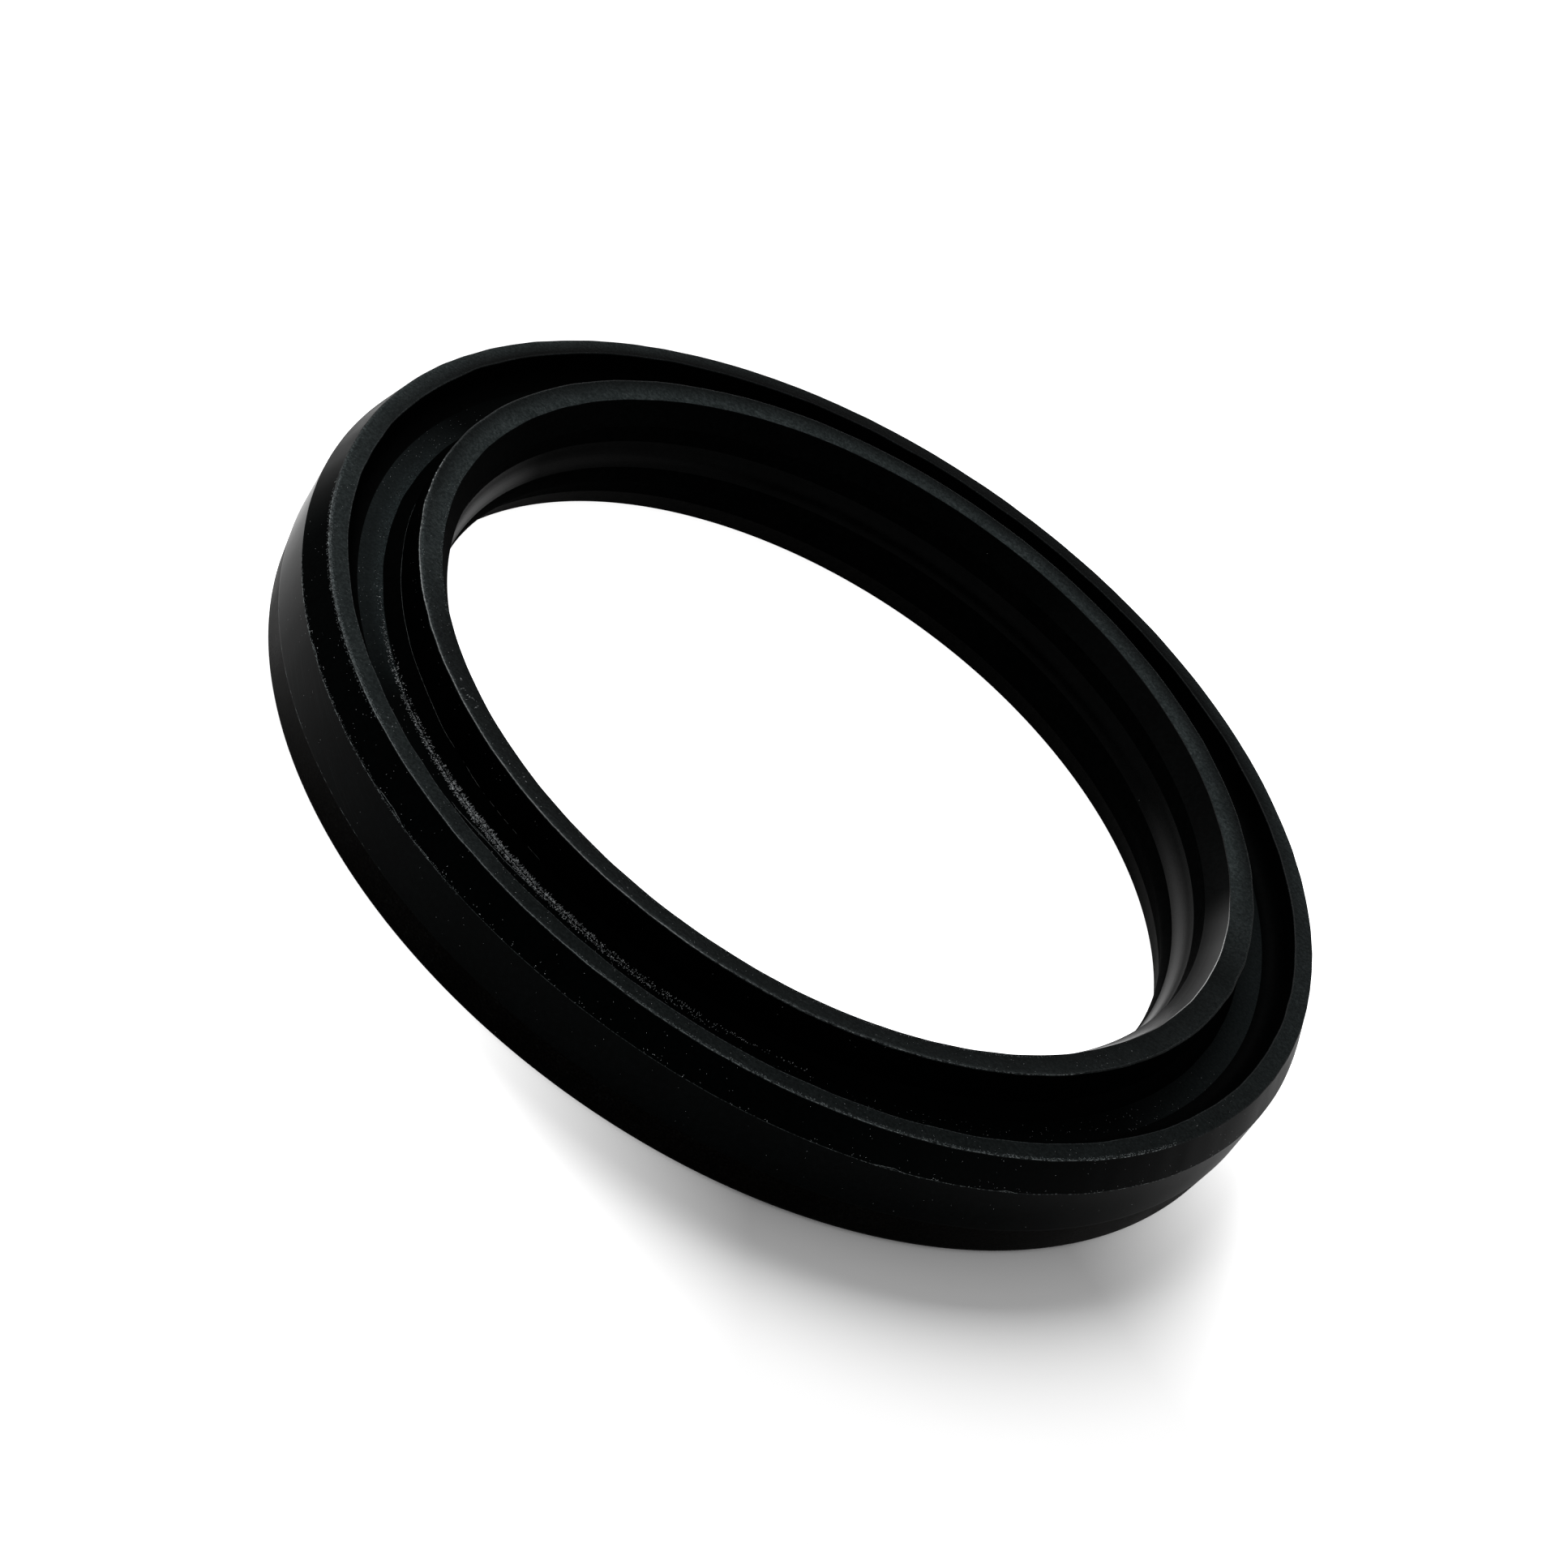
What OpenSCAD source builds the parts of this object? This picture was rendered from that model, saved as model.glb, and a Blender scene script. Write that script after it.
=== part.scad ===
// Rubber seal ring for a round sensor, modelled lips up.
// The heel lies on z = 0 and the ring's axis is the z axis. All sizes are in millimetres.

/* [Fit] */
// Inside diameter of the bead that grips the sensor
bead_d = 29.5; // [8:0.1:150]
// Radial width of the ring, from the bead out to the sealing edge
section_w = 5.25; // [4.9:0.05:12]

/* [Outer wall] */
// Height of the sealing edge above the heel
seal_edge_h = 3.42; // [2.2:0.01:4.2]
// Height of the straight wall below the sealing edge
straight_wall_h = 1.9; // [0.5:0.05:2]
// How far the wall draws in below the straight part
heel_draft = 0.2; // [0.05:0.05:0.6]
// Radius of the heel's outer corner
heel_corner_r = 0.35; // [0.05:0.05:0.8]

/* [Outer lip] */
// Height of the outer lip's top face above the heel
outer_lip_h = 4.6; // [4.2:0.05:6]
// How far the bevel above the sealing edge leans in
bevel_in = 0.47; // [0.1:0.01:0.8]
// Width of the outer lip's flat top
outer_face_w = 0.73; // [0.3:0.01:1]

/* [Groove] */
// Depth of the groove below the outer lip's top face
groove_depth = 1.02; // [0.6:0.02:2]
// How far the outer lip's groove wall leans in from its top to the floor
outer_wall_lean = 0.25; // [0:0.05:0.5]
// Radius between the outer lip's groove wall and the floor
groove_fillet_r = 0.7; // [0.1:0.05:0.8]
// Height of the crease in the inner lip's groove wall, above the floor
crease_rise = 0.46; // [0.2:0.02:0.8]
// How far the wall below the crease runs out over the floor
crease_run = 0.48; // [0.1:0.02:0.6]

/* [Inner lip] */
// How far the inner lip stands above the outer lip
inner_lip_rise = 0.76; // [0.2:0.02:1.5]
// Width of the inner lip's top face
inner_face_w = 0.94; // [0.4:0.02:1.2]
// How far the inner lip's top face falls towards the bore
inner_face_fall = 0.12; // [0:0.02:0.3]
// How far the inner lip's groove wall leans out from its top to the crease
inner_wall_lean = 0.07; // [0:0.01:0.2]

/* [Bore] */
// How far the bead stands in from the straight wall above it
bead_rise = 0.3; // [0.1:0.05:0.8]
// Width of the flared mouth, measured across the radius
mouth_flare_w = 0.54; // [0.2:0.02:0.9]
// Height of the flared mouth
mouth_flare_h = 0.84; // [0.3:0.02:1]
// Height of the middle of the bead above the heel
bead_h = 2.2; // [1.7:0.05:2.6]
// Height of the bead's straight crest
crest_h = 0.6; // [0.4:0.05:1]
// Height of the slope from the bead's crest up to the straight wall
bead_slope_h = 1.05; // [0.5:0.05:1.2]
// Radius that blends the bead into the walls beside it
bead_blend_r = 0.8; // [0.2:0.1:1.2]
// How far the heel's chamfer starts out from the bead's crest
chamfer_start = 0.55; // [0.3:0.05:0.9]
// Width of the chamfer at the heel end of the bore
chamfer_w = 0.3; // [0.1:0.05:0.6]
// Height of the chamfer at the heel end of the bore
chamfer_h = 0.85; // [0.3:0.05:0.9]

/* [Edges] */
// Radius left by the mould on each crisp edge
edge_r = 0.05; // [0.02:0.01:0.1]

/* [Hidden] */

// Largest turn between two points of a rounded corner, in degrees
arc_step = 18;
// Sides of the circle that the section is swept around
ring_sides = 180;

// Radii, from the bore outwards
bead_r = bead_d / 2;
bore_wall_r = bead_r + bead_rise;
mouth_r = bore_wall_r + mouth_flare_w;
inner_lip_r = mouth_r + inner_face_w;
crease_r = inner_lip_r + inner_wall_lean;
floor_inner_r = crease_r + crease_run;
seal_r = bead_r + section_w;
outer_lip_r = seal_r - bevel_in;
groove_mouth_r = outer_lip_r - outer_face_w;
floor_outer_r = groove_mouth_r - outer_wall_lean;
heel_outer_r = seal_r - heel_draft;
chamfer_top_r = bead_r + chamfer_start;
heel_inner_r = chamfer_top_r + chamfer_w;

// Heights above the heel
wall_foot_h = seal_edge_h - straight_wall_h;
floor_h = outer_lip_h - groove_depth;
crease_h = floor_h + crease_rise;
inner_lip_h = outer_lip_h + inner_lip_rise;
mouth_edge_h = inner_lip_h - inner_face_fall;
bore_wall_top_h = mouth_edge_h - mouth_flare_h;
crest_top_h = bead_h + crest_h / 2;
crest_foot_h = bead_h - crest_h / 2;
bore_wall_foot_h = crest_top_h + bead_slope_h;

// Corners of the section as [radius, height], each with the radius that rounds it
section = [
    [[heel_inner_r, 0], edge_r],
    [[heel_outer_r, 0], heel_corner_r],
    [[seal_r, wall_foot_h], 0],
    [[seal_r, seal_edge_h], edge_r],
    [[outer_lip_r, outer_lip_h], edge_r],
    [[groove_mouth_r, outer_lip_h], edge_r],
    [[floor_outer_r, floor_h], groove_fillet_r],
    [[floor_inner_r, floor_h], edge_r],
    [[crease_r, crease_h], edge_r],
    [[inner_lip_r, inner_lip_h], edge_r],
    [[mouth_r, mouth_edge_h], edge_r],
    [[bore_wall_r, bore_wall_top_h], edge_r],
    [[bore_wall_r, bore_wall_foot_h], bead_blend_r],
    [[bead_r, crest_top_h], bead_blend_r],
    [[bead_r, crest_foot_h], bead_blend_r],
    [[chamfer_top_r, chamfer_h], edge_r],
];

function unit(v) = v / norm(v);

// The smallest turn that equals an angle
function short_turn(angle) = angle - 360 * round(angle / 360);

// Points of one corner, rounded by an arc that touches both of its sides
function rounded_corner(before, corner, after, radius) =
    let (
        to_before = unit(before - corner),
        to_after = unit(after - corner),
        half_angle = acos(to_before * to_after) / 2,
        reach = radius / tan(half_angle),
        centre = corner + unit(to_before + to_after) * radius / sin(half_angle),
        start = corner + to_before * reach - centre,
        finish = corner + to_after * reach - centre,
        start_angle = atan2(start.y, start.x),
        turn = short_turn(atan2(finish.y, finish.x) - start_angle),
        steps = ceil(abs(turn) / arc_step)
    )
    radius == 0
        ? [corner]
        : [for (i = [0 : steps]) let (a = start_angle + turn * i / steps) centre + radius * [cos(a), sin(a)]];

// The whole outline, with every corner rounded
function rounded_outline(corners) =
    let (count = len(corners))
    [
        for (i = [0 : count - 1])
            each rounded_corner(
                corners[(i + count - 1) % count][0],
                corners[i][0],
                corners[(i + 1) % count][0],
                corners[i][1]
            )
    ];

// The ring: one moulded section swept around the z axis
module seal_ring() {
    color("#141818")
        rotate_extrude($fn = ring_sides)
            polygon(rounded_outline(section));
}

seal_ring();
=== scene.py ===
"""Rubber seal ring for a round sensor: the looks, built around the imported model. Lengths are in metres."""
import math
import random

import bpy
import numpy as np
from mathutils import Matrix, Vector, noise


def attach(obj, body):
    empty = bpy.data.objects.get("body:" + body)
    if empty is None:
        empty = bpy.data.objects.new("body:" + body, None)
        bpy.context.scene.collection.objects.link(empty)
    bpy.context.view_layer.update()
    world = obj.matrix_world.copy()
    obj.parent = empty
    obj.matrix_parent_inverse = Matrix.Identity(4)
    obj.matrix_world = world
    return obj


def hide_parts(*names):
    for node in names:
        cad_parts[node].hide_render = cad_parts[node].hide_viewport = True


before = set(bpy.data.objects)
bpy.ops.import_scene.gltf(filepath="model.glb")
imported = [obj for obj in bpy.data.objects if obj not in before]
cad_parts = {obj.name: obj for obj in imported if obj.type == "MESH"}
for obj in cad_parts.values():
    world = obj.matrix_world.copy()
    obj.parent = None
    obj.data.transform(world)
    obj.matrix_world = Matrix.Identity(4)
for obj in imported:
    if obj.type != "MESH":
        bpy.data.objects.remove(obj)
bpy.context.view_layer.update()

MM = 0.001

# Ring mesh: points around the ring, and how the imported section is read
AROUND = 1300
SAME_PLACE = 0.0005 * MM
SHORT_STEP = 0.04 * MM
FOOT_SUPPORT = 0.04 * MM
BEAD_TOP = 2.4 * MM

# The section's crisp edges, in order from the heel outwards, and the surface that follows each
EDGES = (
    ("heel_inner_edge", "outside"),
    ("seal_edge", "bevel"),
    ("outer_lip_edge", "outer_face"),
    ("groove_mouth_edge", "groove"),
    ("floor_edge", "groove_foot"),
    ("crease", "inner_wall"),
    ("inner_lip_edge", "inner_face"),
    ("mouth_edge", "mouth"),
    ("bore_wall_edge", "bore"),
    ("chamfer_edge", "chamfer"),
)

# Camera, as fitted to the edges of the ring in the photograph
PHOTO_WIDTH = 1934
PHOTO_FOCAL = 5000
SENSOR_WIDTH = 36
CAMERA_ELEVATION = math.radians(34.48)
CAMERA_ROLL = math.radians(34.94)
CAMERA_DISTANCE = 141.9 * MM
RING_RIGHT = 1.98 * MM
RING_UP = 1.77 * MM


# The section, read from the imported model

def packed_section(node):
    """The ring's section as (radius, height) points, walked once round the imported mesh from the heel's bore edge."""
    rings = []
    ring_of = []
    for vertex in node.data.vertices:
        here = Vector((math.hypot(vertex.co.x, vertex.co.y), vertex.co.z))
        for index, ring in enumerate(rings):
            if (ring - here).length < SAME_PLACE:
                ring_of.append(index)
                break
        else:
            ring_of.append(len(rings))
            rings.append(here)
    beside = [set() for ring in rings]
    for edge in node.data.edges:
        a, b = (ring_of[v] for v in edge.vertices)
        if a != b:
            beside[a].add(b)
            beside[b].add(a)
    heel = [i for i, ring in enumerate(rings) if ring.y < SAME_PLACE]
    inner = min(heel, key=lambda i: rings[i].x)
    walk = [inner, max(heel, key=lambda i: rings[i].x)]
    while True:
        following = next(i for i in beside[walk[-1]] if i != walk[-2])
        if following == inner:
            break
        walk.append(following)
    return [rings[i] for i in walk]


def label_surfaces(section):
    """For each step of the section, the name of the edge or surface that it belongs to."""
    count = len(section)
    short = [(section[(i + 1) % count] - section[i]).length < SHORT_STEP for i in range(count)]
    names = [None] * count
    edge = 0
    surface = EDGES[0][1]
    for i in range(count):
        if short[i]:
            if not short[i - 1]:
                edge += 1
            names[i], surface = EDGES[edge % len(EDGES)]
        else:
            names[i] = surface
    if edge != len(EDGES):
        raise ValueError("the section has %d crisp edges and not %d" % (edge, len(EDGES)))
    return names


def split_surfaces(section, names):
    """Tells apart the wall, heel, floor and bead among the steps that share a name."""
    seal_radius = max(point.x for point in section)
    wall_radius = max(section[i].x for i, name in enumerate(names) if name == "bore")
    detailed = []
    for i, name in enumerate(names):
        here = section[i]
        after = section[(i + 1) % len(section)]
        level = abs(after.y - here.y) < SAME_PLACE
        if name == "outside":
            if level:
                name = "heel"
            elif here.x > seal_radius - SAME_PLACE and after.x > seal_radius - SAME_PLACE:
                name = "wall"
            else:
                name = "heel_band"
        elif name == "groove":
            name = "floor" if level else "groove_wall"
        elif name == "bore" and min(here.x, after.x) < wall_radius - SAME_PLACE and after.y > BEAD_TOP:
            name = "bead"
        detailed.append(name)
    return detailed


# Irregularities of the moulding

# How far each edge wanders, outwards and upwards in millimetres, its lobes to a turn and its seed
WANDER = {
    "seal_edge": (0.008, 0.010, 110, 1.7),
    "outer_lip_edge": (0.020, 0.010, 130, 4.1),
    "groove_mouth_edge": (0.045, 0.014, 90, 6.6),
    "floor_edge": (0.030, 0.0, 80, 7.2),
    "crease": (0.030, 0.030, 60, 7.9),
    "inner_lip_edge": (0.030, 0.0, 110, 9.3),
    "mouth_edge": (0.024, 0.0, 90, 11.2),
}
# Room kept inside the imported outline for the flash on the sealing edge
OUTER_ROOM = 0.06 * MM


def ripple(angle, lobes, seed):
    """Smooth noise round the ring, between about -1 and 1, with so many lobes to a turn."""
    reach = lobes / (2 * math.pi)
    return noise.noise(Vector((math.cos(angle) * reach, math.sin(angle) * reach, seed)))


def supported(section, names):
    """The section with a point close to each side of the wall's foot, so that the faces beside it stay flat."""
    points = []
    labels = []
    for i, (here, name) in enumerate(zip(section, names)):
        after = section[(i + 1) % len(section)]
        points.append(here)
        labels.append(name)
        if name == "heel_band" and names[(i + 1) % len(names)] == "wall":
            points.append(after + (here - after).normalized() * FOOT_SUPPORT)
            labels.append("wall_foot")
        elif name == "wall" and names[i - 1] == "heel_band":
            labels[-1] = "wall_foot"
            points.append(here + (after - here).normalized() * FOOT_SUPPORT)
            labels.append(name)
    return points, labels


def ring_profile(section, names):
    """Radius and height of every section point at every angle: two arrays [around, section point]."""
    count = len(section)
    radii = np.array([point.x for point in section])
    heights = np.array([point.y for point in section])
    angles = np.arange(AROUND) * 2 * math.pi / AROUND
    middle = (radii.max() + radii.min()) / 2
    shrink = (radii.max() - OUTER_ROOM - middle) / (radii.max() - middle)
    radii = np.where(radii > middle, middle + (radii - middle) * shrink, radii)
    moved_r = np.tile(radii, (AROUND, 1))
    moved_z = np.tile(heights, (AROUND, 1))
    for name, (out, rise, lobes, seed) in WANDER.items():
        run = edge_run(names, name)
        moved_r[:, run] += np.array([out * MM * ripple(a, lobes, seed) for a in angles])[:, None]
        moved_z[:, run] += np.array([rise * MM * ripple(a, lobes, seed + 20) for a in angles])[:, None]
    return moved_r, moved_z


def edge_run(names, name):
    """Indices of the section points that round one crisp edge."""
    run = [i for i in range(len(names)) if names[i] == name]
    return run + [(run[-1] + 1) % len(names)]


def at_angles(column, angles):
    """Values given at the ring's own angles, read at any others."""
    own = np.arange(AROUND + 1) * 2 * math.pi / AROUND
    return np.interp(angles, own, np.append(column, column[0]))


def area_normals(points):
    """Vertex normals weighted by face area, so that wide faces stay flat up to their rounded edges."""
    along = np.roll(points, -1, axis=1)
    around = np.roll(points, -1, axis=0)
    both = np.roll(along, -1, axis=0)
    faces = np.cross(both - points, along - around)
    total = faces + np.roll(faces, 1, axis=1) + np.roll(faces, 1, axis=0) + np.roll(np.roll(faces, 1, axis=0), 1, axis=1)
    return total / np.linalg.norm(total, axis=2, keepdims=True)


def make_ring(profile, names, materials):
    """The ring as one closed mesh, with a material for each surface."""
    radii, heights = profile
    angles = np.arange(AROUND)[:, None] * 2 * math.pi / AROUND
    points = np.stack([radii * np.cos(angles), radii * np.sin(angles), heights], axis=2)
    count = len(names)
    turn, step = np.meshgrid(np.arange(AROUND), np.arange(count), indexing="ij")
    next_turn = (turn + 1) % AROUND
    next_step = (step + 1) % count
    quads = np.stack(
        [
            turn * count + step,
            next_turn * count + step,
            next_turn * count + next_step,
            turn * count + next_step,
        ],
        axis=2,
    ).reshape(-1, 4)
    mesh = bpy.data.meshes.new("seal_ring_skin")
    mesh.from_pydata(points.reshape(-1, 3).tolist(), [], quads.tolist())
    slots = list(materials)
    for slot in slots:
        mesh.materials.append(materials[slot])
    slot_of_step = [slots.index(SURFACE_MATERIAL[name]) for name in names]
    mesh.polygons.foreach_set("material_index", np.tile(slot_of_step, AROUND).astype(np.int32))
    mesh.polygons.foreach_set("use_smooth", np.ones(len(quads), dtype=bool))
    normals = area_normals(points)
    mesh.normals_split_custom_set_from_vertices(normals.reshape(-1, 3).tolist())
    mesh.update()
    ring = bpy.data.objects.new("seal_ring_skin", mesh)
    bpy.context.scene.collection.objects.link(ring)
    return ring


# Flash left along the edges, as closed strips and slivers that grow out of the ring

FIN_STEPS = 5200
FIN_DEPTH = 0.05 * MM


def plateau(degrees, low, high, soft):
    """1 between two angles and 0 outside them, with soft ends."""
    inside = min(degrees - low, high - degrees) / soft
    return min(1.0, max(0.0, 0.5 + inside))


def teeth(degrees, lobes, seed, bare):
    """Torn edge: uneven teeth up to about 1, with gaps where the noise is below bare."""
    angle = math.radians(degrees)
    coarse = 0.5 + ripple(angle, lobes, seed)
    fine = 0.5 + ripple(angle, lobes * 2.3, seed + 5.3)
    return math.sqrt(max(0.0, coarse - bare) / (1 - bare)) * (0.3 + fine)


def seal_flash(degrees):
    torn = 0.75 * plateau(degrees, 208, 246, 6) + 0.5 * plateau(degrees, 290, 336, 8) + 0.12
    return 0.034 * torn * teeth(degrees, 1300, 1.3, 0.45) + 0.004 * plateau(degrees, 205, 250, 4) - 0.007


def lip_burr(degrees):
    torn = plateau(degrees, 199, 231, 3) + 0.45 * plateau(degrees, 262, 330, 6) + 0.08
    crisp = plateau(degrees, 226, 266, 5)
    return 0.060 * torn * teeth(degrees, 1250, 5.9, 0.36) + 0.026 * crisp - 0.008


def inner_lip_flash(degrees):
    torn = plateau(degrees, 186, 216, 5) + 0.7 * plateau(degrees, 268, 322, 6) + 0.05
    crisp = plateau(degrees, 205, 272, 8)
    return 0.026 * torn * teeth(degrees, 1100, 9.2, 0.28) + 0.022 * crisp - 0.010


def crease_flash(degrees):
    whole = 0.7 * plateau(degrees, 203, 232, 3) + 0.36 * plateau(degrees, 190, 203, 4)
    broken = plateau(degrees, 226, 250, 4) * teeth(degrees, 420, 3.3, 0.35)
    return 0.016 * whole + 0.034 * broken - 0.005


def foot_flash(degrees):
    return 0.018 * plateau(degrees, 204, 240, 8) * teeth(degrees, 420, 7.7, 0.4) - 0.005


# Each strip: the edge that it grows from, its direction (outwards, upwards), half thickness and length
FINS = {
    "seal_edge_flash": ("seal_edge", (1.0, 0.15), 0.012, seal_flash),
    "outer_lip_burr": ("outer_lip_edge", (0.85, 0.53), 0.014, lip_burr),
    "inner_lip_flash": ("inner_lip_edge", (1.0, 0.0), 0.010, inner_lip_flash),
    "crease_flash": ("crease", (0.8, 0.6), 0.006, crease_flash),
    "wall_foot_flash": ("wall_foot", (1.0, 0.0), 0.006, foot_flash),
}


def closed_rings(sections):
    """Quads that join sections [around, corner, xyz] into a closed band."""
    around, corners = sections.shape[:2]
    turn, corner = np.meshgrid(np.arange(around), np.arange(corners), indexing="ij")
    next_turn = (turn + 1) % around
    next_corner = (corner + 1) % corners
    return np.stack(
        [
            turn * corners + corner,
            next_turn * corners + corner,
            next_turn * corners + next_corner,
            turn * corners + next_corner,
        ],
        axis=2,
    ).reshape(-1, 4)


def add_piece(name, vertices, faces, material):
    """A mesh piece of the rubber, riding on the ring."""
    mesh = bpy.data.meshes.new(name)
    mesh.from_pydata([tuple(v) for v in vertices], [], [tuple(int(i) for i in f) for f in faces])
    mesh.materials.append(material)
    piece = bpy.data.objects.new(name, mesh)
    bpy.context.scene.collection.objects.link(piece)
    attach(piece, "root")
    return piece


def make_fin(name, profile, names, material):
    """One strip of flash: where its length is below zero, it stays inside the ring."""
    edge, direction, half, length = FINS[name]
    run = edge_run(names, edge)
    middle = run[len(run) // 2]
    angles = np.arange(FIN_STEPS) * 2 * math.pi / FIN_STEPS
    base_r = at_angles(profile[0][:, middle], angles)
    base_z = at_angles(profile[1][:, middle], angles)
    reach = np.array([length(math.degrees(a)) for a in angles]) * MM
    curl = np.array([ripple(a, 1400, 12.6) for a in angles]) * np.maximum(reach, 0) * 0.4
    out, up = Vector(direction).normalized()
    half = half * MM
    corners = []
    for along, side in ((-FIN_DEPTH, -1), (-FIN_DEPTH, 1), (reach, 0.4), (reach, -0.4)):
        bend = curl if along is reach else 0.0
        radius = base_r + out * along - up * (half * side + bend)
        height = np.minimum(base_z + up * along + out * (half * side + bend), profile[1].max())
        corners.append(np.stack([radius * np.cos(angles), radius * np.sin(angles), height], axis=1))
    sections = np.stack(corners, axis=1)
    return add_piece(name, sections.reshape(-1, 3), closed_rings(sections), material)


# Slivers of flash along the sealing edge: angles of both ends, and how far the middle lifts off it
SLIVERS = ((236.5, 241.5, 0.11), (218.0, 221.0, 0.06), (296.0, 299.5, 0.07), (309.5, 311.5, 0.06), (243.5, 246.0, 0.05))
# Threads on the groove's floor: angles of both ends and the radius there in millimetres
FLOOR_THREADS = ((240.0, 246.5, 17.60, 17.39), (243.5, 253.5, 17.42, 17.27))
THREAD_RADIUS = 0.009 * MM
THREAD_POINTS = 60


def thread_mesh(angles, radius, height, first):
    """Vertices and faces of one thread, thin at both ends; its vertices are numbered from first."""
    share = np.linspace(0.01, 0.99, len(angles))
    thick = THREAD_RADIUS * np.sqrt(np.sin(math.pi * share))
    vertices = []
    faces = []
    for a, r, z, t in zip(angles, radius, height, thick):
        for out, up in ((1, 0), (0, 1), (-1, 0), (0, -1)):
            vertices.append(((r + out * t) * math.cos(a), (r + out * t) * math.sin(a), z + up * t))
    for i in range(len(angles) - 1):
        for c in range(4):
            d = (c + 1) % 4
            faces.append((first + 4 * i + c, first + 4 * i + 4 + c, first + 4 * i + 4 + d, first + 4 * i + d))
    last = first + 4 * (len(angles) - 1)
    faces.append((first, first + 1, first + 2, first + 3))
    faces.append((last + 3, last + 2, last + 1, last))
    return vertices, faces


def make_slivers(profile, names, material):
    """Thin threads of flash that leave the sealing edge, run over the bevel and come back."""
    run = edge_run(names, "seal_edge")
    middle = run[len(run) // 2]
    vertices = []
    faces = []
    for start, end, lift in SLIVERS:
        share = np.linspace(0, 1, THREAD_POINTS)
        angles = np.radians(start + (end - start) * share)
        wave = np.array([ripple(a, 500, 2.2) for a in angles])
        off = lift * MM * np.sin(math.pi * share) * (0.8 + 0.5 * wave)
        radius = at_angles(profile[0][:, middle], angles) - 0.37 * off + 0.004 * MM
        height = at_angles(profile[1][:, middle], angles) + 0.93 * off
        more, joined = thread_mesh(angles, radius, height, len(vertices))
        vertices.extend(more)
        faces.extend(joined)
    return add_piece("seal_edge_slivers", vertices, faces, material)


def make_floor_threads(profile, names, material):
    """Two fine threads of flash that lie along the groove's floor, beside the grit."""
    floor_height = profile[1][0, names.index("floor")]
    vertices = []
    faces = []
    for start, end, first_radius, last_radius in FLOOR_THREADS:
        share = np.linspace(0, 1, THREAD_POINTS)
        angles = np.radians(start + (end - start) * share)
        wave = np.array([ripple(a, 260, 8.8) for a in angles])
        radius = (first_radius + (last_radius - first_radius) * share + 0.03 * wave) * MM
        height = np.full(THREAD_POINTS, floor_height + 0.4 * THREAD_RADIUS)
        more, joined = thread_mesh(angles, radius, height, len(vertices))
        vertices.extend(more)
        faces.extend(joined)
    return add_piece("floor_threads", vertices, faces, material)


# Crumbs and dust, as small closed lumps that sit in the surfaces

# Each field: the surface, its share of the width, the angles, how many, and the longest and widest in millimetres
CRUMBS = (
    ("floor", (0.00, 0.26), (206, 280), 1700, (0.062, 0.032)),
    ("groove_foot", (0.00, 0.20), (215, 290), 700, (0.060, 0.034)),
    ("groove_foot", (0.00, 0.26), (236, 264), 420, (0.120, 0.024)),
    ("inner_face", (0.15, 0.75), (227, 233), 12, (0.20, 0.016)),
    ("inner_face", (0.10, 0.60), (240, 244), 5, (0.16, 0.014)),
    ("inner_face", (0.10, 0.50), (259, 263), 4, (0.14, 0.014)),
    ("outer_face", (0.30, 0.80), (230, 233), 4, (0.18, 0.016)),
    ("floor", (0.00, 0.90), (165, 350), 420, (0.035, 0.022)),
    ("bevel", (0.00, 1.00), (200, 345), 150, (0.034, 0.022)),
    ("bevel", (0.00, 0.12), (205, 345), 130, (0.060, 0.020)),
    ("outer_face", (0.00, 1.00), (195, 345), 160, (0.034, 0.020)),
    ("inner_face", (0.00, 1.00), (190, 335), 160, (0.034, 0.020)),
    ("inner_wall", (0.00, 1.00), (195, 300), 50, (0.026, 0.018)),
    ("wall", (0.00, 1.00), (200, 345), 90, (0.032, 0.018)),
)
# The same for the granular rubber beside the lips' edges
LIP_GRIT = (
    ("outer_face", (0.00, 0.10), (196, 232), 420, (0.080, 0.055)),
    ("outer_face", (0.06, 0.24), (196, 232), 170, (0.056, 0.036)),
    ("bevel", (0.93, 1.00), (196, 231), 200, (0.060, 0.042)),
    ("outer_face", (0.00, 0.13), (262, 332), 480, (0.064, 0.044)),
    ("inner_face", (0.88, 1.00), (186, 216), 200, (0.044, 0.030)),
    ("inner_face", (0.87, 1.00), (250, 320), 360, (0.056, 0.036)),
    ("bevel", (0.00, 0.05), (208, 250), 260, (0.046, 0.026)),
    ("wall", (0.97, 1.00), (208, 250), 200, (0.040, 0.026)),
)
LUMP = ((1, 0, 0), (-1, 0, 0), (0, 1, 0), (0, -1, 0), (0, 0, 1), (0, 0, -1))
LUMP_FACES = ((0, 2, 4), (2, 1, 4), (1, 3, 4), (3, 0, 4), (2, 0, 5), (1, 2, 5), (3, 1, 5), (0, 3, 5))


def surface_place(profile, names, surface, share, angle):
    """A point of a surface, with the directions across it and out of it, as (outwards, upwards) pairs."""
    steps = [i for i in range(len(names)) if names[i] == surface]
    widest = max(steps, key=lambda i: abs(profile[0][0, i] - profile[0][0, (i + 1) % len(names)])
                 + abs(profile[1][0, i] - profile[1][0, (i + 1) % len(names)]))
    turn = int(angle / (2 * math.pi) * AROUND) % AROUND
    start = Vector((profile[0][turn, widest], profile[1][turn, widest]))
    end = Vector((profile[0][turn, (widest + 1) % len(names)], profile[1][turn, (widest + 1) % len(names)]))
    across = (end - start).normalized()
    return start.lerp(end, share), across, Vector((across.y, -across.x))


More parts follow.
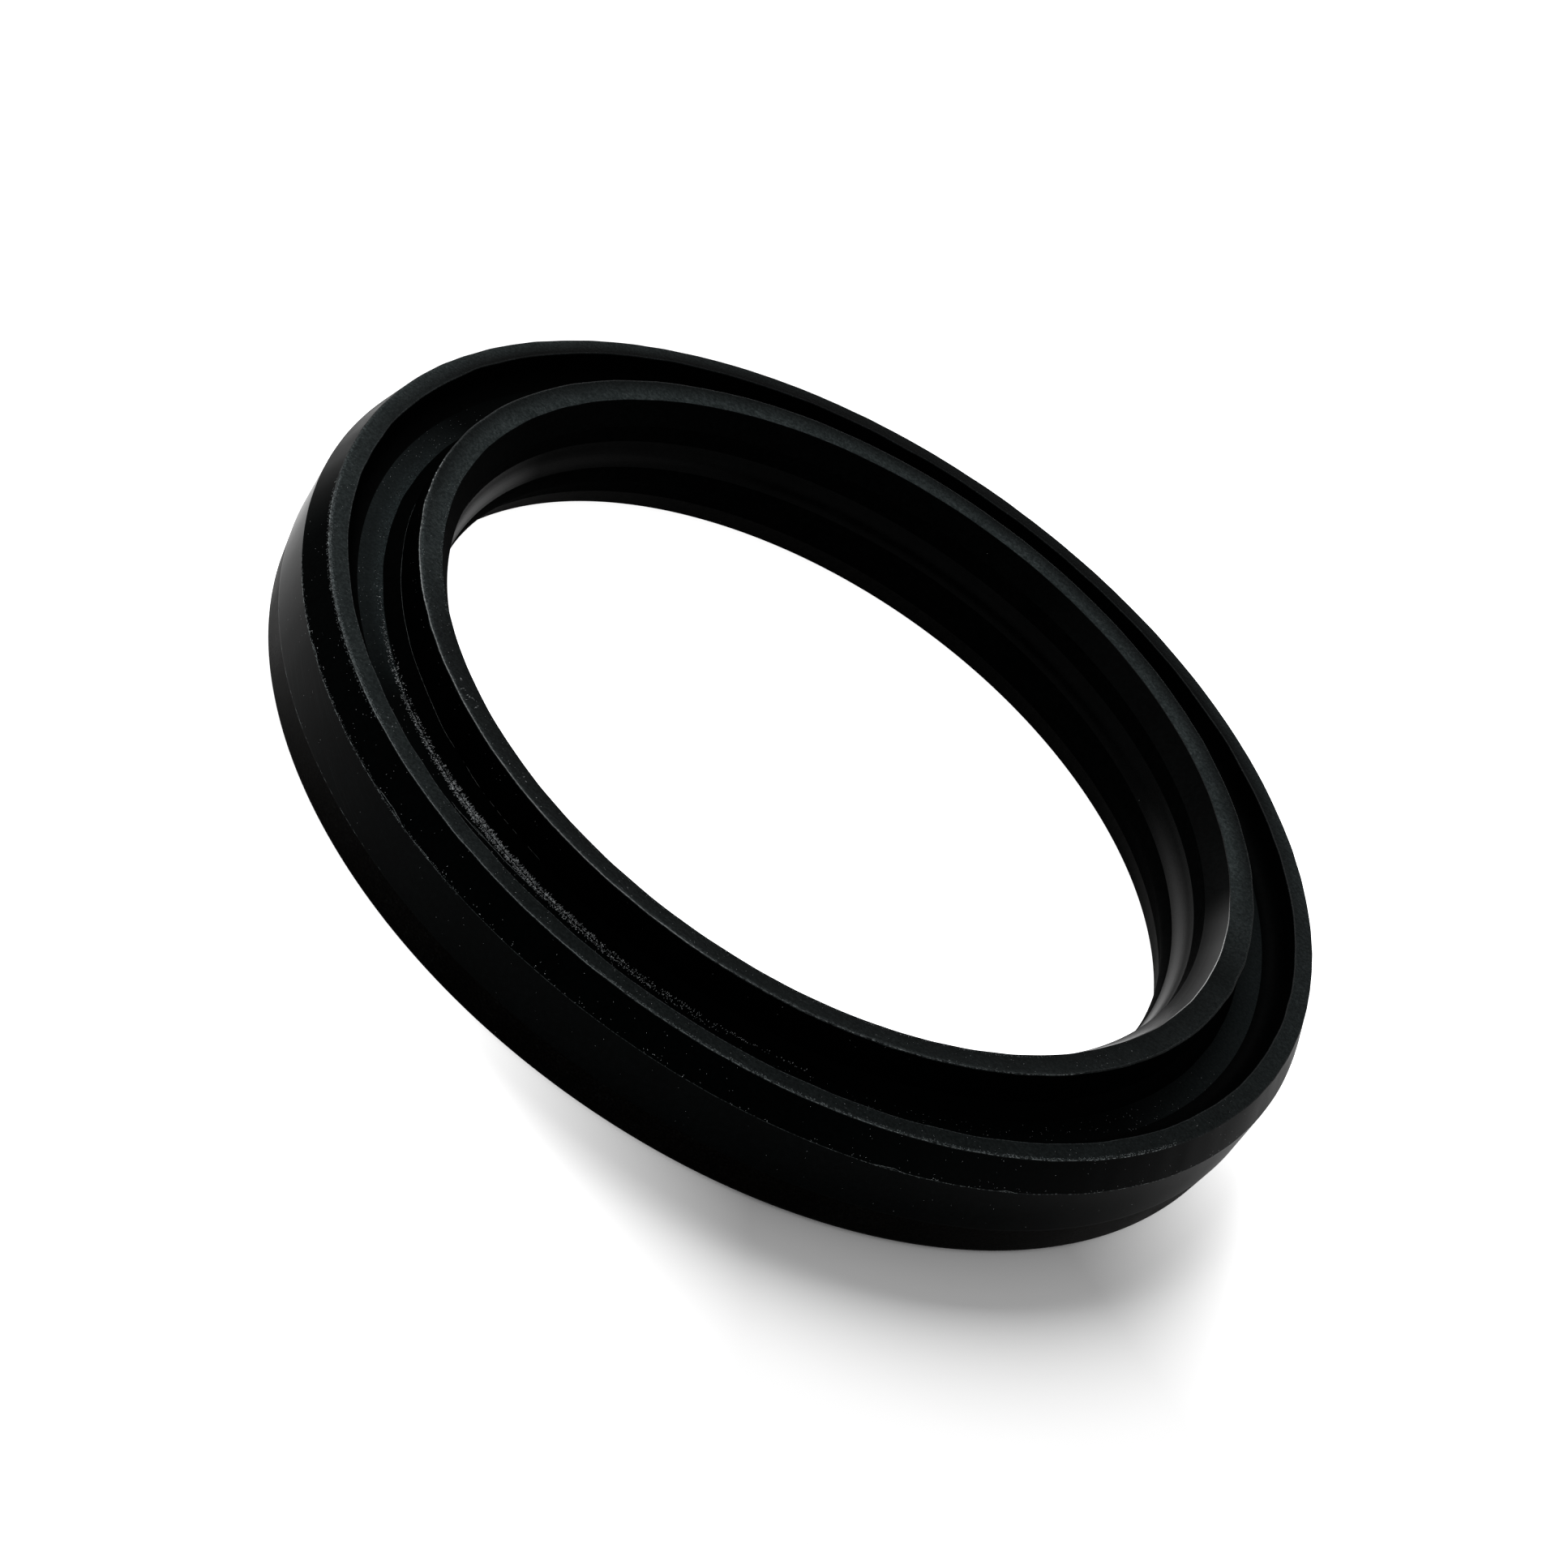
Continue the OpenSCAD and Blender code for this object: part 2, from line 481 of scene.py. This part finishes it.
def make_crumbs(name, fields, seed, profile, names, material):
    """One piece of crumbs: lumps drawn out in any direction, but across the groove on its floor."""
    draw = random.Random(seed)
    highest = profile[1].max()
    vertices = []
    faces = []
    for surface, (low, high), (first_angle, last_angle), count, (longest, widest) in fields:
        for index in range(count):
            if surface in ("floor", "groove_foot") and high < 0.5:
                angle = math.radians(draw.triangular(first_angle, last_angle, 242))
                share = low + (high - low) * draw.betavariate(1.1, 2.4)
                share = 1 - share if surface == "floor" else share
                slant = draw.gauss(0, 0.35)
            else:
                angle = math.radians(draw.uniform(first_angle, last_angle))
                share = draw.uniform(low, high)
                slant = draw.uniform(0, math.pi)
            length = longest * MM * draw.uniform(0.25, 0.5)
            width = widest * MM * draw.uniform(0.25, 0.5)
            place, across, outward = surface_place(profile, names, surface, share, angle)
            radial = Vector((math.cos(angle), math.sin(angle), 0))
            around = Vector((-math.sin(angle), math.cos(angle), 0))
            up = Vector((0, 0, 1))
            over = radial * across.x + up * across.y
            out = radial * outward.x + up * outward.y
            long_way = over * math.cos(slant) + around * math.sin(slant)
            wide_way = around * math.cos(slant) - over * math.sin(slant)
            centre = radial * place.x + up * place.y
            begin = len(vertices)
            for x, y, z in LUMP:
                grow = draw.uniform(0.7, 1.2)
                point = centre + grow * (long_way * (x * length) + wide_way * (y * width) + out * (z * width))
                point.z = min(point.z, highest)
                vertices.append(tuple(point))
            faces.extend((begin + a, begin + b, begin + c) for a, b, c in LUMP_FACES)
    return add_piece(name, vertices, faces, material)


# Materials

SURFACE_MATERIAL = {
    "heel": "heel_rubber",
    "heel_band": "band_rubber",
    "wall": "wall_rubber",
    "wall_foot": "wall_rubber",
    "bevel": "bevel_rubber",
    "outer_face": "outer_face_rubber",
    "groove_wall": "groove_rubber",
    "floor": "floor_rubber",
    "groove_foot": "groove_rubber",
    "inner_wall": "groove_rubber",
    "inner_face": "inner_face_rubber",
    "mouth": "mouth_rubber",
    "bore": "bore_rubber",
    "bead": "bead_rubber",
    "chamfer": "chamfer_rubber",
    "heel_inner_edge": "chamfer_rubber",
    "seal_edge": "edge_rubber",
    "outer_lip_edge": "edge_rubber",
    "groove_mouth_edge": "edge_rubber",
    "floor_edge": "floor_rubber",
    "crease": "groove_rubber",
    "inner_lip_edge": "edge_rubber",
    "mouth_edge": "mouth_rubber",
    "bore_wall_edge": "bore_rubber",
    "chamfer_edge": "chamfer_rubber",
}

DUST = (0.33, 0.34, 0.33, 1)


class Nodes:
    """Short calls for adding and joining the nodes of one material."""

    def __init__(self, name):
        self.material = bpy.data.materials.new(name)
        self.material.use_nodes = True
        self.tree = self.material.node_tree
        self.shader = self.tree.nodes["Principled BSDF"]

    def add(self, kind, inputs=None, **settings):
        node = self.tree.nodes.new(kind)
        for key, value in settings.items():
            setattr(node, key, value)
        for key, value in (inputs or {}).items():
            self.feed(node.inputs[key], value)
        return node

    def feed(self, socket, value):
        if isinstance(value, bpy.types.NodeSocket):
            self.tree.links.new(value, socket)
        else:
            socket.default_value = value

    def place(self):
        return self.add("ShaderNodeTexCoord").outputs["Object"]

    def noise(self, vector, size, detail=3.0, roughness=0.6):
        """Noise whose lumps are about size across."""
        inputs = {"Vector": vector, "Scale": 1 / size, "Detail": detail, "Roughness": roughness}
        return self.add("ShaderNodeTexNoise", inputs).outputs["Fac"]

    def spread(self, value, low, high, to_low=0.0, to_high=1.0):
        inputs = {"Value": value, "From Min": low, "From Max": high, "To Min": to_low, "To Max": to_high}
        return self.add("ShaderNodeMapRange", inputs).outputs["Result"]

    def maths(self, operation, a, b):
        return self.add("ShaderNodeMath", {0: a, 1: b}, operation=operation).outputs[0]

    def blend(self, share, a, b):
        node = self.add("ShaderNodeMix", data_type="RGBA")
        self.feed(node.inputs["Factor"], share)
        self.feed(node.inputs["A"], a)
        self.feed(node.inputs["B"], b)
        return node.outputs["Result"]

    def bump(self, height, depth, below=None):
        inputs = {"Height": height, "Distance": depth, "Strength": 1.0}
        if below is not None:
            inputs["Normal"] = below
        return self.add("ShaderNodeBump", inputs).outputs["Normal"]


def specks(nodes, place, cell, radius, share):
    """Scattered round specks: 1 on a speck and 0 elsewhere."""
    found = nodes.add("ShaderNodeTexVoronoi", {"Vector": place, "Scale": 1 / cell})
    near = nodes.spread(found.outputs["Distance"], radius / cell, 0.6 * radius / cell)
    pick = nodes.add("ShaderNodeSeparateColor", {"Color": found.outputs["Color"]}).outputs["Red"]
    kept = nodes.maths("LESS_THAN", pick, share)
    return nodes.maths("MULTIPLY", near, kept)


def scuffs(nodes, place, width, slant):
    """Fine slanted lines round a wall: noise drawn out along the axis, then twisted about it."""
    height = nodes.add("ShaderNodeSeparateXYZ", {"Vector": place}).outputs["Z"]
    turn = nodes.maths("MULTIPLY", height, slant)
    turned = nodes.add("ShaderNodeVectorRotate", {"Vector": place, "Angle": turn}, rotation_type="Z_AXIS")
    drawn = nodes.add("ShaderNodeVectorMath", {0: turned.outputs[0], 1: (1, 1, 0.05)}, operation="MULTIPLY")
    lines = nodes.noise(drawn.outputs[0], width, detail=1.0)
    patches = nodes.noise(place, 1.8 * MM, detail=2.0)
    return nodes.maths("MULTIPLY", nodes.spread(lines, 0.62, 0.72), nodes.spread(patches, 0.42, 0.6))


def radius_of(nodes, place):
    flat = nodes.add("ShaderNodeVectorMath", {0: place, 1: (1, 1, 0)}, operation="MULTIPLY").outputs[0]
    return nodes.add("ShaderNodeVectorMath", {0: flat}, operation="LENGTH").outputs["Value"]


def facing(nodes, place, degrees):
    """How far round towards an angle a place lies, from -1 to 1."""
    towards = (math.cos(math.radians(degrees)), math.sin(math.radians(degrees)), 0)
    dot = nodes.add("ShaderNodeVectorMath", {0: place, 1: towards}, operation="DOT_PRODUCT").outputs["Value"]
    return nodes.maths("DIVIDE", dot, radius_of(nodes, place))


def painted_light_round(nodes, place, least, lobes):
    """Share of the full tone round the ring, as painted light and shade: least, and more towards angles (degrees, low,
    high, amount).
    """
    share = least
    for degrees, low, high, amount in lobes:
        share = nodes.maths("ADD", nodes.spread(facing(nodes, place, degrees), low, high, 0.0, amount), share)
    return share


def polish(nodes, place, degrees, low, high):
    """Roughness that falls from 1 to 0.15 as a place turns towards an angle."""
    return nodes.spread(facing(nodes, place, degrees), low, high, 1.0, 0.15)


def rubber(name, dark, pale, roughness, gloss, grain, grain_depth, flecks=0.0, extra=None, matt=None, painted_light_and_shade=None,
           film=None):
    """Moulded black rubber: mottled tone, fine grain, pale flecks, scattered dust, and painted light and shade where it
    is given.
    """
    nodes = Nodes(name)
    place = nodes.place()
    mottle = nodes.noise(place, 2.5 * MM, detail=4.0)
    fine = nodes.noise(place, grain, detail=5.0, roughness=0.7)
    patches = nodes.spread(mottle, 0.0, 1.0, 0.35, 0.65)
    tone = nodes.spread(nodes.maths("MULTIPLY", patches, fine), 0.205, 0.335)
    base = nodes.blend(tone, (*dark, 1), (*pale, 1))
    if flecks:
        bits = nodes.noise(place, 0.09 * MM, detail=3.0, roughness=0.65)
        picked = nodes.maths("MULTIPLY", nodes.spread(bits, 0.55, 0.70), nodes.spread(mottle, 0.3, 0.65, 0.3, 1.0))
        base = nodes.blend(nodes.maths("MULTIPLY", picked, flecks), base, FLECK)
    if extra is not None:
        share, colour = extra(nodes, place)
        base = nodes.blend(share, base, (*colour, 1))
    # painted light and shade: the tone darkened towards black, or lightened, by place on the ring
    if painted_light_and_shade is not None:
        base = nodes.blend(painted_light_and_shade(nodes, place), PAINTED_SHADE_BLACK, base)
    dust = specks(nodes, place, 0.9 * MM, 0.014 * MM, 0.3)
    base = nodes.blend(dust, base, DUST)
    nodes.feed(nodes.shader.inputs["Base Color"], base)
    rough = nodes.spread(mottle, 0.3, 0.7, roughness - 0.05, roughness + 0.07)
    if matt is not None:
        rough = nodes.maths("MAXIMUM", rough, matt(nodes, place))
    nodes.feed(nodes.shader.inputs["Roughness"], rough)
    nodes.feed(nodes.shader.inputs["Specular IOR Level"], gloss)
    nodes.feed(nodes.shader.inputs["Normal"], nodes.bump(fine, grain_depth))
    if film is not None:
        coat, coat_roughness = film(nodes, place)
        nodes.feed(nodes.shader.inputs["Coat Weight"], coat)
        nodes.feed(nodes.shader.inputs["Coat Roughness"], coat_roughness)
        nodes.feed(nodes.shader.inputs["Coat IOR"], COAT_IOR)
    return nodes.material


def wall_scuffs(nodes, place):
    side = nodes.spread(facing(nodes, place, 205.0), 0.75, 0.95)
    lines = scuffs(nodes, place, 0.055 * MM, 260.0)
    return nodes.maths("MULTIPLY", lines, side), (0.016, 0.018, 0.018)


def floor_bloom(nodes, place):
    """Fine pale bloom on the inner part of the groove's floor, on one side of the ring."""
    fine = nodes.noise(place, 0.05 * MM, detail=3.0, roughness=0.7)
    side = nodes.spread(facing(nodes, place, 204.0), 0.72, 0.95)
    inner = nodes.spread(radius_of(nodes, place), 17.6 * MM, 17.15 * MM)
    share = nodes.maths("MULTIPLY", nodes.spread(fine, 0.45, 0.8), nodes.maths("MULTIPLY", side, inner))
    return share, (0.045, 0.060, 0.063)


def outer_face_painted_light(nodes, place):
    """Painted light and shade on the outer lip's face: palest on one side of the ring, and on the far side darker
    towards the groove.
    """
    share = painted_light_round(nodes, place, 0.10, ((182, 0.3, 1.0, 0.72), (25, 0.7, 1.0, 0.48), (280, -0.2, 0.6, 0.18)))
    radius = radius_of(nodes, place)
    far_side = nodes.spread(facing(nodes, place, 105), 0.0, 0.6)
    near = nodes.spread(radius, 18.9 * MM, 19.45 * MM, 0.9, 1.05)
    far = nodes.spread(radius, 18.9 * MM, 19.4 * MM, 0.05, 1.2)
    return nodes.maths("MULTIPLY", share, nodes.spread(far_side, 0.0, 1.0, near, far))


def inner_face_painted_light(nodes, place):
    """Painted light and shade on the inner lip's face: darker on the near side, there palest towards the groove, and on
    the far side towards the bore.
    """
    share = painted_light_round(nodes, place, 0.24, ((110, -0.36, -0.06, 0.65), (185, 0.85, 1.0, 0.1)))
    radius = radius_of(nodes, place)
    far_side = nodes.spread(facing(nodes, place, 107), -0.3, 0.1)
    near = nodes.spread(radius, 15.7 * MM, 16.45 * MM, 0.7, 1.3)
    far = nodes.spread(radius, 15.8 * MM, 16.4 * MM, 1.15, 0.25)
    whole = nodes.maths("MULTIPLY", share, nodes.spread(far_side, 0.0, 1.0, near, far))
    # painted highlight along the face's inner rim, on the far side of the ring
    rim_highlight = nodes.maths("MULTIPLY", nodes.spread(radius, 15.95 * MM, 15.7 * MM), gathered(nodes, place, 62, 0.75, 1.0))
    return nodes.maths("ADD", whole, rim_highlight)


def floor_painted_light(nodes, place):
    """Painted light on the groove's floor, palest at two opposite sides of the ring."""
    return painted_light_round(nodes, place, 0.02, ((197, 0.88, 0.985, 0.75), (2, 0.85, 0.99, 0.62)))


def face_bloom(nodes, place):
    """Pale granular wear along the outer border of both lips' faces, on one side of the ring."""
    radius = radius_of(nodes, place)
    outer = nodes.spread(radius, 19.34 * MM, 19.46 * MM)
    inner = nodes.maths("MULTIPLY", nodes.spread(radius, 16.34 * MM, 16.5 * MM), nodes.spread(radius, 16.8 * MM, 16.7 * MM))
    side = nodes.spread(facing(nodes, place, 245.0), 0.1, 0.8)
    fine = nodes.noise(place, 0.10 * MM, detail=3.0, roughness=0.7)
    border = nodes.maths("MULTIPLY", nodes.maths("MAXIMUM", outer, inner), side)
    return nodes.maths("MULTIPLY", nodes.spread(fine, 0.46, 0.62), border), (0.105, 0.125, 0.128)


def worn_and_lit_edge(nodes, place):
    """Pale wear along the lips' edges, on one side of the ring, partly a painted highlight."""
    side = nodes.spread(facing(nodes, place, 245.0), 0.1, 0.8)
    fine = nodes.noise(place, 0.08 * MM, detail=3.0, roughness=0.7)
    # pale wear and painted highlight
    return nodes.maths("MULTIPLY", nodes.spread(fine, 0.4, 0.7), side), (0.055, 0.063, 0.064)


def bead_polish(nodes, place):
    """Roughness of the bead's slope: polished along its middle."""
    height = nodes.add("ShaderNodeSeparateXYZ", {"Vector": place}).outputs["Z"]
    off = nodes.maths("ABSOLUTE", nodes.maths("SUBTRACT", height, BEAD_SHINE), 0.0)
    return nodes.spread(off, 0.06 * MM, 0.42 * MM, 0.12, 0.6)


def gathered(nodes, place, degrees, low, most):
    """A share that rises smoothly to most squared as a place turns towards an angle."""
    near = nodes.spread(facing(nodes, place, degrees), low, 1.0, 0.0, most)
    return nodes.maths("MULTIPLY", near, near)


def bead_film(nodes, place):
    """Shiny film that handling left on the bead, at two opposite sides of the bore."""
    height = nodes.add("ShaderNodeSeparateXYZ", {"Vector": place}).outputs["Z"]
    off = nodes.maths("ABSOLUTE", nodes.maths("SUBTRACT", height, BEAD_SHINE), 0.0)
    across = nodes.spread(off, 0.06 * MM, 0.42 * MM, 1.0, 0.35)
    sides = nodes.maths("ADD", gathered(nodes, place, 9.0, 0.82, 0.47), gathered(nodes, place, 181.0, 0.94, 1.0))
    return nodes.maths("MULTIPLY", across, sides), 0.12


def mouth_film(nodes, place):
    """Soft shiny film on the flared mouth, on one side of the ring."""
    height = nodes.add("ShaderNodeSeparateXYZ", {"Vector": place}).outputs["Z"]
    up = nodes.spread(height, 4.5 * MM, 5.15 * MM, 0.3, 1.0)
    return nodes.maths("MULTIPLY", up, gathered(nodes, place, 355.0, 0.92, 1.0)), 0.35


def mouth_polish(nodes, place):
    """Roughness of the flared mouth: polished near its edge, on one side of the ring."""
    height = nodes.add("ShaderNodeSeparateXYZ", {"Vector": place}).outputs["Z"]
    up = nodes.spread(height, 4.45 * MM, 5.15 * MM, 0.4, 0.12)
    return nodes.maths("MAXIMUM", up, polish(nodes, place, 8.0, 0.3, 0.8))


def bevel_polish(nodes, place):
    left = polish(nodes, place, 172.0, 0.84, 0.97)
    right = polish(nodes, place, 345.0, 0.5, 0.95)
    return nodes.maths("MINIMUM", left, right)


BEAD_SHINE = 2.95 * MM
FLECK = (0.07, 0.082, 0.083, 1)
# colour that painted shade darkens the rubber towards
PAINTED_SHADE_BLACK = (0.0004, 0.0006, 0.0006, 1)
COAT_IOR = 2.2


def make_materials():
    return {
        "outer_face_rubber": rubber(
            "outer_face_rubber", (0.0085, 0.0112, 0.0114), (0.0230, 0.0286, 0.0290), 0.3, 0.006, 0.14 * MM, 0.02 * MM,
            0.45, extra=face_bloom, painted_light_and_shade=outer_face_painted_light),
        "inner_face_rubber": rubber(
            "inner_face_rubber", (0.0085, 0.0112, 0.0114), (0.0250, 0.0306, 0.0310), 0.3, 0.006, 0.14 * MM, 0.02 * MM,
            0.45, extra=face_bloom, painted_light_and_shade=inner_face_painted_light),
        "bevel_rubber": rubber(
            "bevel_rubber", (0.0002, 0.0004, 0.0004), (0.0007, 0.001, 0.001), 0.3, 0.010, 0.16 * MM, 0.002 * MM,
            matt=bevel_polish),
        "groove_rubber": rubber(
            "groove_rubber", (0.0002, 0.0003, 0.0003), (0.0006, 0.0007, 0.0007), 0.5, 0.002, 0.16 * MM, 0.003 * MM),
        "wall_rubber": rubber(
            "wall_rubber", (0.0003, 0.0006, 0.0006), (0.0011, 0.0015, 0.0016), 0.09, 0.018, 0.2 * MM, 0.0015 * MM,
            extra=wall_scuffs),
        "band_rubber": rubber(
            "band_rubber", (0.0004, 0.0003, 0.0002), (0.0024, 0.0021, 0.0018), 0.3, 0.006, 0.1 * MM, 0.006 * MM, 0.06),
        "floor_rubber": rubber(
            "floor_rubber", (0.0075, 0.0095, 0.0098), (0.0130, 0.0160, 0.0164), 0.6, 0.003, 0.12 * MM, 0.02 * MM, 0.04,
            extra=floor_bloom, painted_light_and_shade=floor_painted_light),
        "mouth_rubber": rubber(
            "mouth_rubber", (0.0003, 0.0004, 0.0004), (0.0012, 0.0014, 0.0014), 0.1, 0.014, 0.2 * MM, 0.0015 * MM,
            matt=mouth_polish, film=mouth_film),
        "bore_rubber": rubber(
            "bore_rubber", (0.0003, 0.0004, 0.0004), (0.0010, 0.0011, 0.0011), 0.6, 0.002, 0.25 * MM, 0.002 * MM),
        "bead_rubber": rubber(
            "bead_rubber", (0.0004, 0.0005, 0.0005), (0.0012, 0.0013, 0.0013), 0.1, 0.022, 0.25 * MM, 0.001 * MM,
            matt=bead_polish, film=bead_film),
        "chamfer_rubber": rubber(
            "chamfer_rubber", (0.0010, 0.0010, 0.0009), (0.0035, 0.0034, 0.0032), 0.45, 0.03, 0.2 * MM, 0.004 * MM),
        "heel_rubber": rubber(
            "heel_rubber", (0.0025, 0.003, 0.0032), (0.010, 0.011, 0.011), 0.5, 0.05, 0.12 * MM, 0.008 * MM, 0.3),
        "edge_rubber": rubber(
            "edge_rubber", (0.0008, 0.0011, 0.0012), (0.0055, 0.0072, 0.0075), 0.45, 0.03, 0.08 * MM, 0.008 * MM, 0.3,
            extra=worn_and_lit_edge),
    }


def pale_rubber(name, dark, pale, roughness):
    """Torn or loose rubber, pale where it is thin."""
    nodes = Nodes(name)
    place = nodes.place()
    thick = nodes.noise(place, 0.10 * MM, detail=4.0, roughness=0.7)
    fine = nodes.noise(place, 0.03 * MM, detail=2.0)
    nodes.feed(nodes.shader.inputs["Base Color"], nodes.blend(nodes.spread(thick, 0.38, 0.64), dark, pale))
    nodes.feed(nodes.shader.inputs["Roughness"], nodes.spread(fine, 0.3, 0.7, roughness - 0.08, roughness + 0.1))
    nodes.feed(nodes.shader.inputs["Specular IOR Level"], 0.25)
    nodes.feed(nodes.shader.inputs["Normal"], nodes.bump(fine, 0.004 * MM))
    return nodes.material


def flash_rubber():
    return pale_rubber("flash_rubber", (0.03, 0.037, 0.038, 1), (0.17, 0.19, 0.19, 1), 0.4)


def grit_rubber():
    return pale_rubber("grit_rubber", (0.018, 0.023, 0.024, 1), (0.13, 0.148, 0.150, 1), 0.5)


def crumb_rubber():
    return pale_rubber("crumb_rubber", (0.05, 0.060, 0.064, 1), (0.72, 0.75, 0.76, 1), 0.5)


# The camera, the floor and the light

def make_camera(lip_height):
    forward = Vector((0, math.cos(CAMERA_ELEVATION), -math.sin(CAMERA_ELEVATION)))
    level_right = Vector((1, 0, 0))
    level_up = level_right.cross(forward)
    right = math.cos(CAMERA_ROLL) * level_right + math.sin(CAMERA_ROLL) * level_up
    up = right.cross(forward)
    place = Vector((0, 0, lip_height)) - RING_RIGHT * right - RING_UP * up - CAMERA_DISTANCE * forward
    data = bpy.data.cameras.new("camera")
    data.sensor_width = SENSOR_WIDTH
    data.lens = SENSOR_WIDTH * PHOTO_FOCAL / PHOTO_WIDTH
    data.clip_start = 10 * MM
    data.clip_end = 100
    camera = bpy.data.objects.new("camera", data)
    camera.matrix_world = Matrix.Translation(place) @ Matrix((right, up, -forward)).transposed().to_4x4()
    bpy.context.scene.collection.objects.link(camera)
    bpy.context.scene.camera = camera


# Painted light that the floor adds for the camera alone and which hides the ring's shadow: most in the bore and away
# from the ring, less towards the lamp, and least where the shadow falls
PAINTED_LIGHT_MOST = 0.95
PAINTED_LIGHT_LEAST = 0.05
SHADOW_SIDE = 307.0


def make_floor():
    half = 3.0
    mesh = bpy.data.meshes.new("floor")
    mesh.from_pydata([(-half, -half, 0), (half, -half, 0), (half, half, 0), (-half, half, 0)], [], [(0, 1, 2, 3)])
    nodes = Nodes("floor_white")
    nodes.feed(nodes.shader.inputs["Base Color"], (0.95, 0.95, 0.95, 1))
    nodes.feed(nodes.shader.inputs["Roughness"], 0.9)
    nodes.feed(nodes.shader.inputs["Specular IOR Level"], 0.0)
    seen = nodes.add("ShaderNodeLightPath").outputs["Is Camera Ray"]
    place = nodes.place()
    radius = radius_of(nodes, place)
    close = nodes.maths("MULTIPLY", nodes.spread(radius, 15.0 * MM, 19.5 * MM), nodes.spread(radius, 60 * MM, 40 * MM))
    shadow_side = nodes.spread(facing(nodes, place, SHADOW_SIDE), 0.62, 0.95)
    lamp_side = nodes.spread(facing(nodes, place, SHADOW_SIDE - 180), 0.6, 0.95, 0.0, 0.8)
    shaded = nodes.maths("MULTIPLY", close, nodes.maths("MAXIMUM", shadow_side, lamp_side))
    # painted light on the floor, seen by the camera only, that whitens the ring's shadow except where it falls
    lift = nodes.spread(shaded, 0.0, 1.0, PAINTED_LIGHT_MOST, PAINTED_LIGHT_LEAST)
    nodes.feed(nodes.shader.inputs["Emission Color"], (1, 1, 1, 1))
    nodes.feed(nodes.shader.inputs["Emission Strength"], nodes.maths("MULTIPLY", seen, lift))
    mesh.materials.append(nodes.material)
    floor = bpy.data.objects.new("floor", mesh)
    bpy.context.scene.collection.objects.link(floor)


def softbox(name, place, size, watts):
    """A square area lamp that faces the ring."""
    data = bpy.data.lights.new(name, "AREA")
    data.shape = "SQUARE"
    data.size = size
    data.energy = watts
    lamp = bpy.data.objects.new(name, data)
    lamp.location = place
    lamp.rotation_euler = (-Vector(place)).to_track_quat("-Z", "Y").to_euler()
    bpy.context.scene.collection.objects.link(lamp)


def make_world(fill):
    """White to the camera, in reflections and through glass; a plainer fill light for everything else."""
    world = bpy.data.worlds.new("studio")
    bpy.context.scene.world = world
    world.use_nodes = True
    tree = world.node_tree
    background = tree.nodes["Background"]
    path = tree.nodes.new("ShaderNodeLightPath")
    seen = path.outputs["Is Camera Ray"]
    for kind in ("Is Glossy Ray", "Is Transmission Ray"):
        either = tree.nodes.new("ShaderNodeMath")
        either.operation = "MAXIMUM"
        tree.links.new(seen, either.inputs[0])
        tree.links.new(path.outputs[kind], either.inputs[1])
        seen = either.outputs[0]
    level = tree.nodes.new("ShaderNodeMapRange")
    level.inputs["To Min"].default_value = fill
    level.inputs["To Max"].default_value = 1.0
    tree.links.new(seen, level.inputs["Value"])
    background.inputs["Color"].default_value = (1, 1, 1, 1)
    tree.links.new(level.outputs["Result"], background.inputs["Strength"])


section = packed_section(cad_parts["seal_ring"])
names = split_surfaces(section, label_surfaces(section))
section, names = supported(section, names)
materials = make_materials()
profile = ring_profile(section, names)
ring = make_ring(profile, names, materials)
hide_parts("seal_ring")
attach(ring, "root")
flash = flash_rubber()
for fin in FINS:
    make_fin(fin, profile, names, flash)
make_slivers(profile, names, flash)
make_floor_threads(profile, names, flash)
make_crumbs("surface_crumbs", CRUMBS, 41, profile, names, crumb_rubber())
make_crumbs("lip_grit", LIP_GRIT, 43, profile, names, grit_rubber())

outer_lip_height = next(section[i].y for i, name in enumerate(names) if name == "outer_face")
make_camera(outer_lip_height)
make_floor()
make_world(0.38)
softbox("key_lamp", (-0.32, 0.38, 0.54), 0.42, 5.5)
bpy.context.scene.view_settings.view_transform = "Standard"
